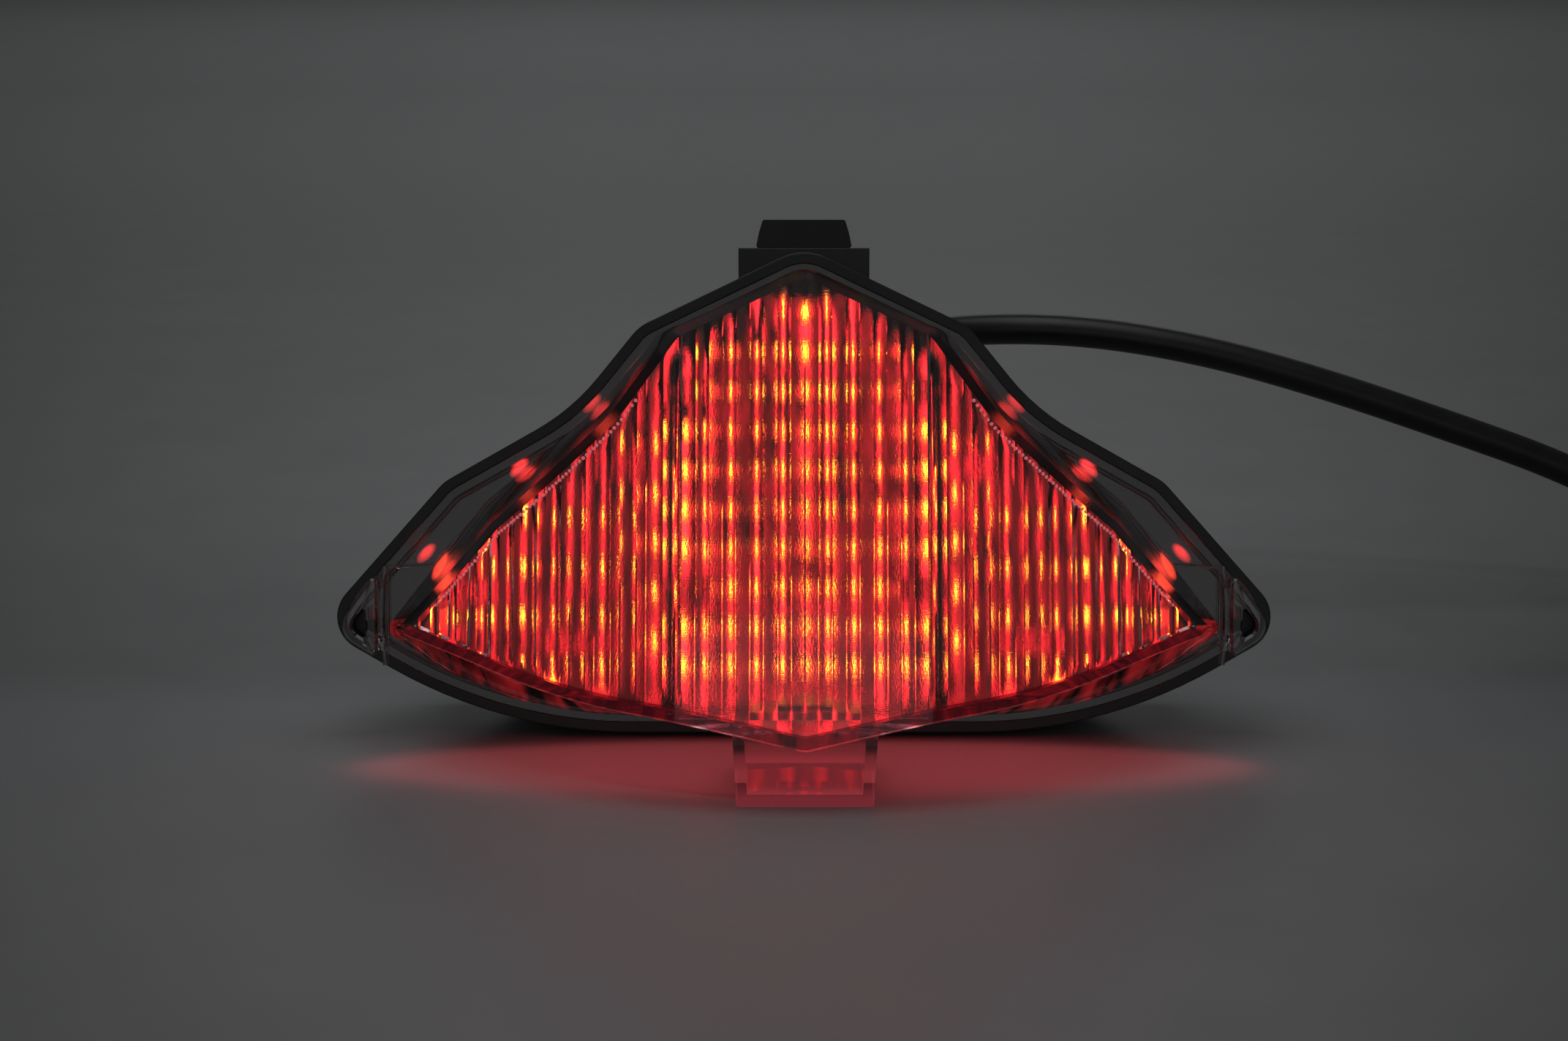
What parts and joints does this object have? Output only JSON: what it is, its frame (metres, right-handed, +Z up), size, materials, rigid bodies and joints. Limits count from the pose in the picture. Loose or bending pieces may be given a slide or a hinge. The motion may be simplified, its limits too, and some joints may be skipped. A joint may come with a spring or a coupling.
{
  "type": "motorcycle tail light",
  "caption": "Bat-shaped LED tail light: clear fluted lens on a black housing, ear cups, top mounting tab, number plate window below and a free rear cable with connector.",
  "frame": {"origin": "centre of the lamp's underside: middle of its width and of its depth from lens tip to strain relief, at the plane it stands on", "axes": "+Z up as it stands, -Y the way the lens shines (rearwards on the motorcycle), +X to the viewer's right, along the width"},
  "size_m": [0.4178, 0.1812, 0.1151],
  "materials": {
    "black_abs": "fine-textured moulded black ABS",
    "black_rubber": "matt",
    "clear_pc": "polished clear polycarbonate with moulded flutes",
    "brass": "machined",
    "white_membrane": "matt porous film",
    "zinc_steel": "zinc plated",
    "circuit_board": "solder mask over glass-epoxy",
    "red_led": "moulded red epoxy, lit",
    "white_led": "white package with a pale yellow window",
    "grey_reflector": "satin silver-grey",
    "resistor_body": "lacquered beige",
    "diode_body": "black epoxy",
    "white_nylon": "natural nylon",
    "black_nylon": "satin moulded nylon",
    "cable_pvc": "satin black PVC sheath",
    "wire_red": "PVC insulation",
    "wire_yellow": "PVC insulation",
    "wire_black": "PVC insulation"
  },
  "bodies": {
    "lamp": {"rear_housing": "black_abs", "lens_gasket": "black_rubber", "outer_lens": "clear_pc", "plate_lamp_window": "clear_pc", "top_tab_cushion": "black_rubber", "brass_inserts": "brass", "vent_cap": "black_rubber", "vent_membrane": "white_membrane", "board_screws": "zinc_steel", "lens_screws": "zinc_steel", "centre_board": "circuit_board", "centre_leds": "red_led", "centre_reflector": "grey_reflector", "left_wing_board": "circuit_board", "left_wing_leds": "red_led", "left_wing_reflector": "grey_reflector", "right_wing_board": "circuit_board", "right_wing_leds": "red_led", "right_wing_reflector": "grey_reflector", "resistors": "resistor_body", "diodes": "diode_body", "wire_header": "white_nylon", "plate_lamp_board": "circuit_board", "plate_lamp_leds": "white_led", "plate_lamp_bracket": "zinc_steel", "cable_grommet": "black_rubber", "cable_inner_end": "cable_pvc", "cable_stop_tie": "black_nylon", "tail_wire": "wire_red", "stop_wire": "wire_yellow", "earth_wire": "wire_black", "cable": "cable_pvc", "connector_boot": "black_rubber", "connector_housing": "black_nylon", "connector_lock": "white_nylon", "connector_terminals": "brass"},
    "latch": {"connector_latch": "black_nylon"}
  },
  "joints": [
    {"name": "latch_press", "type": "hinge", "parent": "lamp", "child": "latch", "pos_m": [0.303, 0.011, 0.0142], "axis": [-1, 0, 0], "range_deg": [0, 6], "stiffness_Nm_per_rad": 0.05}
  ]
}
